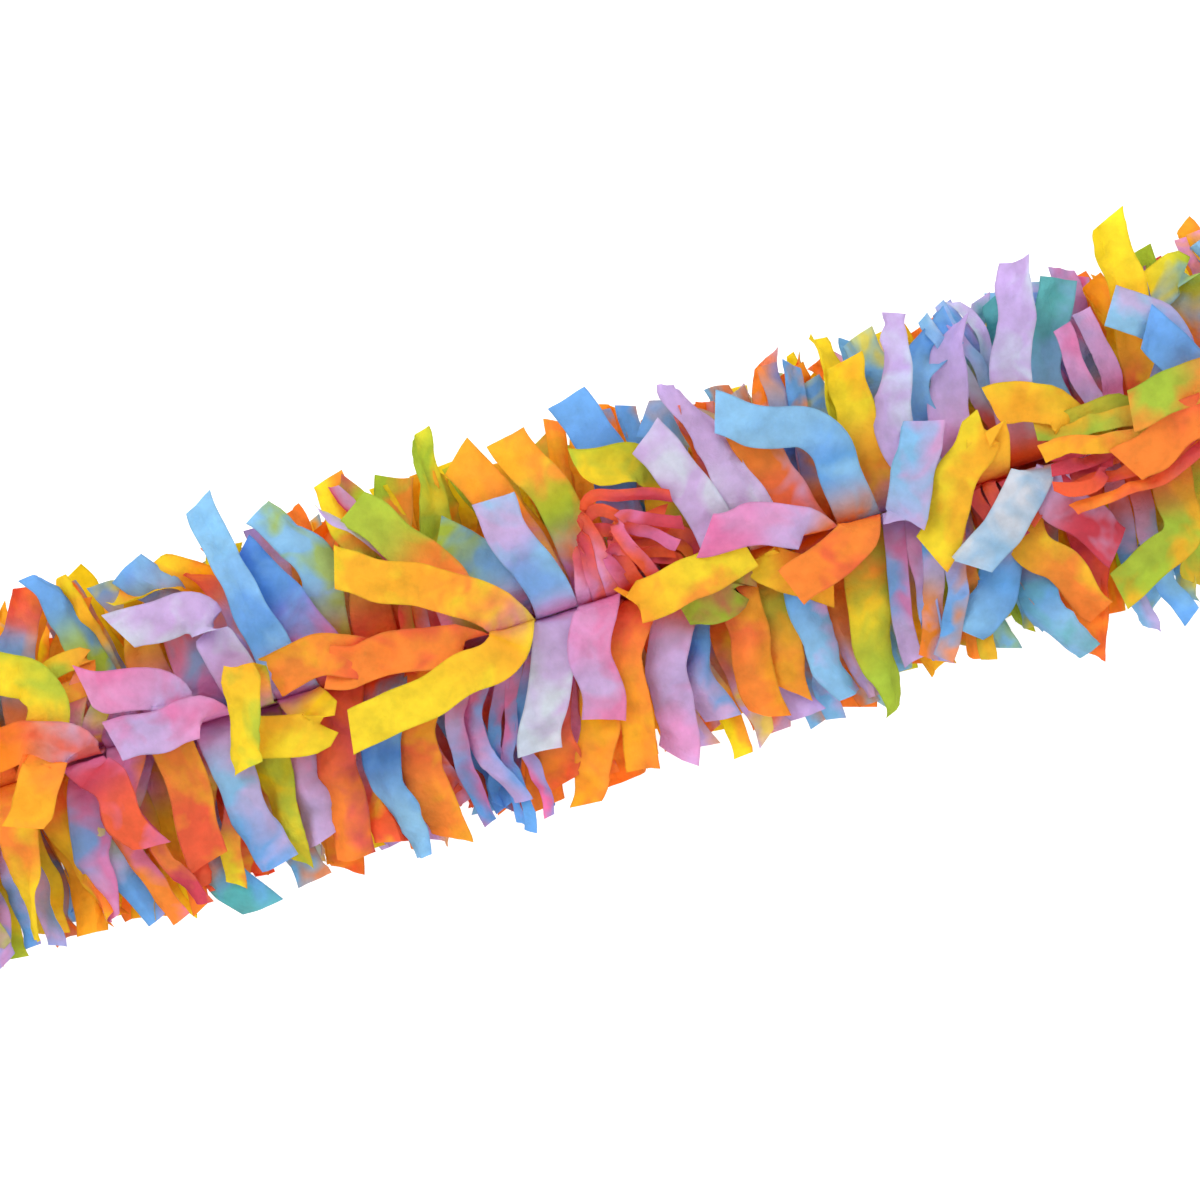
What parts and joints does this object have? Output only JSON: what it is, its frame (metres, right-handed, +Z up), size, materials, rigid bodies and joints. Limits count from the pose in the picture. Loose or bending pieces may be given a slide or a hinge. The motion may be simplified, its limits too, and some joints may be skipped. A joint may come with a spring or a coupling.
{
  "type": "tissue paper festoon garland",
  "caption": "Length of twisted tissue paper fringe garland: slit sheets stacked on a string, twisted and fluffed out, lying straight on a table.",
  "frame": {"origin": "on the table, below the middle of the garland", "axes": "+X along the garland, +Y across it, +Z up from the table"},
  "size_m": [0.6415, 0.1749, 0.0911],
  "materials": {
    "tissue_1": "matt crumpled tissue",
    "tissue_2": "matt crumpled tissue",
    "tissue_3": "matt crumpled tissue",
    "tissue_4": "matt crumpled tissue",
    "tissue_5": "matt crumpled tissue",
    "tissue_6": "matt crumpled tissue",
    "string": "plain cotton string",
    "thread": "plain cotton thread"
  },
  "bodies": {
    "root": {"tissue_sheet_1": "tissue_1", "tissue_sheet_2": "tissue_2", "tissue_sheet_3": "tissue_3", "tissue_sheet_4": "tissue_4", "tissue_sheet_5": "tissue_5", "tissue_sheet_6": "tissue_6", "centre_string": "string", "end_tie_left": "thread", "end_tie_right": "thread"}
  },
  "joints": []
}
